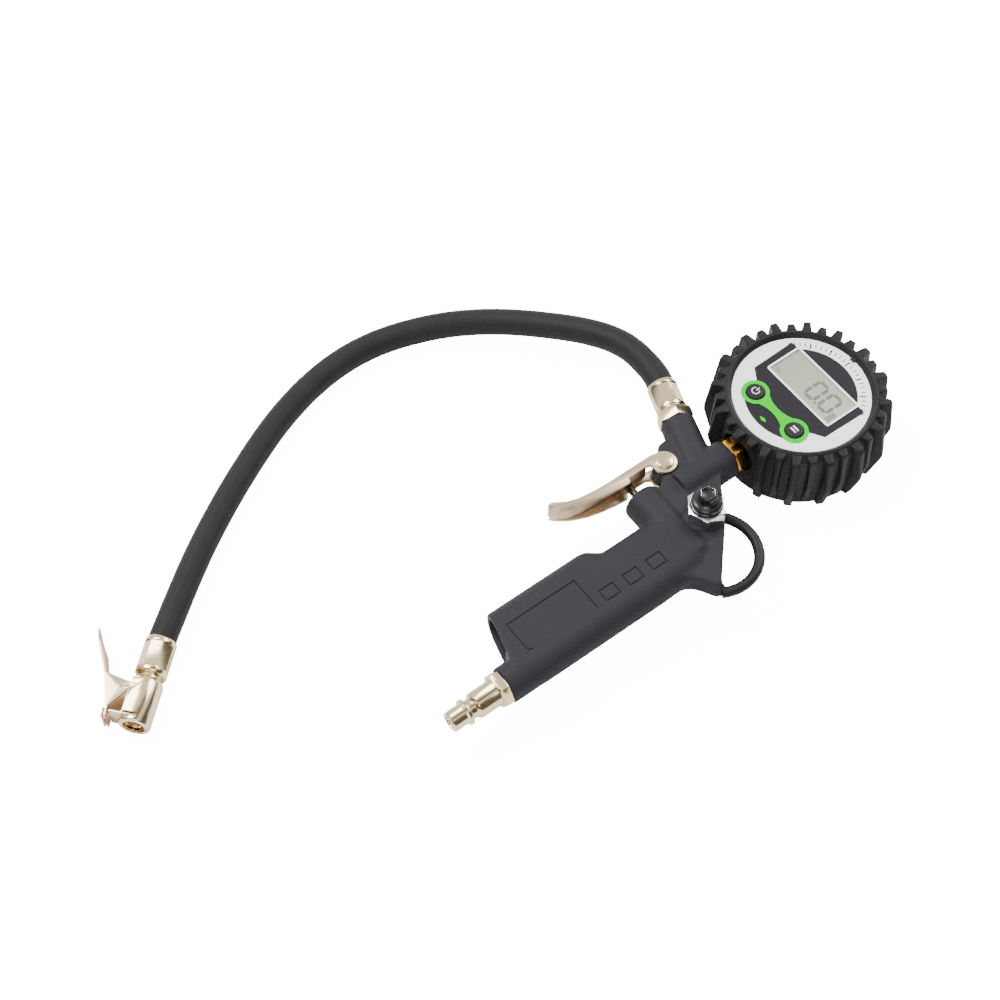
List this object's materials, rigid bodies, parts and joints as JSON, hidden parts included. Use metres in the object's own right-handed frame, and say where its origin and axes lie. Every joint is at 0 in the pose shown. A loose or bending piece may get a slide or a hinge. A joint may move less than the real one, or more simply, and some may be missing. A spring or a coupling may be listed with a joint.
{
  "type": "tire pressure gauge",
  "caption": "Pistol-grip tyre inflator with a round digital pressure gauge in a treaded rubber boot, a squeeze trigger, a bleed button and a rubber hose with a clip-on chuck.",
  "frame": {"origin": "centre of the gauge's flat back face, on the battery door", "axes": "+Z is the gauge's axis, out of the dial; +X runs from the inlet plug along the handle to the gauge; the trigger and the hose outlet are on the +Y side"},
  "size_m": [0.4118, 0.2438, 0.0514],
  "materials": {
    "casting": "matt fine-textured charcoal coating on a die casting",
    "hook_coat": "black dipped coating on steel wire",
    "nickel": "satin champagne nickel plate",
    "lever_steel": "polished nickel plate, slightly pink",
    "brass": "turned brass",
    "bright_chrome": "bright chrome plate",
    "black_steel": "blackened steel",
    "steel": "bright steel",
    "knob_plastic": "black moulded plastic",
    "case_plastic": "black ABS",
    "boot_rubber": "satin black rubber",
    "hose_rubber": "matt black rubber",
    "seal_rubber": "black nitrile rubber",
    "fibre_washer": "red-brown fibre",
    "dial_white": "glossy white",
    "dial_charcoal": "printed charcoal",
    "dial_green": "bright green",
    "lcd": "grey-green liquid crystal display",
    "button_black": "charcoal silicone key",
    "board_green": "green circuit board",
    "switch_grey": "grey tact switch",
    "cell_jacket": "foil jacket"
  },
  "bodies": {
    "gun": {"gun_body": "casting", "hang_hook": "hook_coat", "inlet_plug": "nickel", "inlet_seal": "fibre_washer", "trigger_pin": "lever_steel", "valve_gland": "brass", "gland_seal": "seal_rubber", "valve_seat": "brass", "valve_spring": "steel", "bleed_nut": "bright_chrome", "bleed_seal": "seal_rubber", "bleed_spring": "steel", "gauge_stem": "brass", "stem_nut": "brass", "pressure_sensor": "steel", "gauge_case": "case_plastic", "back_cover": "case_plastic", "battery_door": "case_plastic", "case_screws": "steel", "rubber_boot": "boot_rubber", "batteries": "cell_jacket", "battery_holder": "case_plastic", "circuit_board": "board_green", "button_switches": "switch_grey", "dial_plate": "dial_white", "dial_label": "dial_charcoal", "button_surround": "dial_green", "lcd_frame": "dial_white", "lcd_panel": "lcd", "hose_fitting": "nickel", "gun_ferrule": "nickel", "hose_ends": "hose_rubber", "hose": "hose_rubber", "chuck_ferrule": "nickel", "chuck_body": "nickel", "chuck_seal": "seal_rubber", "chuck_spring": "steel", "clip_pin": "lever_steel", "clip_spring": "steel"},
    "trigger": {"trigger_lever": "lever_steel"},
    "valve": {"valve_stem": "black_steel", "valve_disc": "seal_rubber"},
    "bleed": {"bleed_pin": "steel", "bleed_knob": "knob_plastic", "bleed_screw": "bright_chrome"},
    "on_key": {"on_button": "button_black"},
    "unit_key": {"unit_button": "button_black"},
    "clip": {"clip_lever": "lever_steel"},
    "jaw": {"clip_jaw": "lever_steel"},
    "chuck_core": {"chuck_pin": "brass"}
  },
  "joints": [
    {"name": "trigger_squeeze", "type": "hinge", "parent": "gun", "child": "trigger", "pos_m": [-0.076, 0.0133, 0.025], "axis": [0, 0, 1], "range_deg": [0, 12], "stiffness_Nm_per_rad": 1.5, "springref_deg": -8.59},
    {"name": "valve_stroke", "type": "slide", "parent": "gun", "child": "valve", "axis": [0, -1, 0], "range_m": [0, 0.0042], "deforming": ["valve_spring"]},
    {"name": "bleed_press", "type": "slide", "parent": "gun", "child": "bleed", "axis": [0, 0, -1], "range_m": [0, 0.002], "stiffness_N_per_m": 600, "springref_m": -0.001, "deforming": ["bleed_spring"]},
    {"name": "on_press", "type": "slide", "parent": "gun", "child": "on_key", "axis": [0, 0, -1], "range_m": [0, 0.0005], "stiffness_N_per_m": 800, "springref_m": -0.0002},
    {"name": "unit_press", "type": "slide", "parent": "gun", "child": "unit_key", "axis": [0, 0, -1], "range_m": [0, 0.0005], "stiffness_N_per_m": 800, "springref_m": -0.0002},
    {"name": "clip_open", "type": "hinge", "parent": "gun", "child": "clip", "pos_m": [-0.34492, 0.07397, 0.00825], "axis": [0, 0, -1], "range_deg": [0, 14], "stiffness_Nm_per_rad": 0.3, "springref_deg": -11.46},
    {"name": "jaw_lift", "type": "slide", "parent": "gun", "child": "jaw", "axis": [-0.6626, 0.749, 0], "range_m": [0, 0.0036]},
    {"name": "core_press", "type": "slide", "parent": "gun", "child": "chuck_core", "axis": [0.749, 0.6626, 0], "range_m": [0, 0.002], "stiffness_N_per_m": 500, "springref_m": -0.001, "deforming": ["chuck_spring"]}
  ],
  "couplings": [
    {"joint": "valve_stroke", "follows": "trigger_squeeze", "m_per_rad": 0.0196},
    {"joint": "jaw_lift", "follows": "clip_open", "m_per_rad": 0.0143}
  ]
}
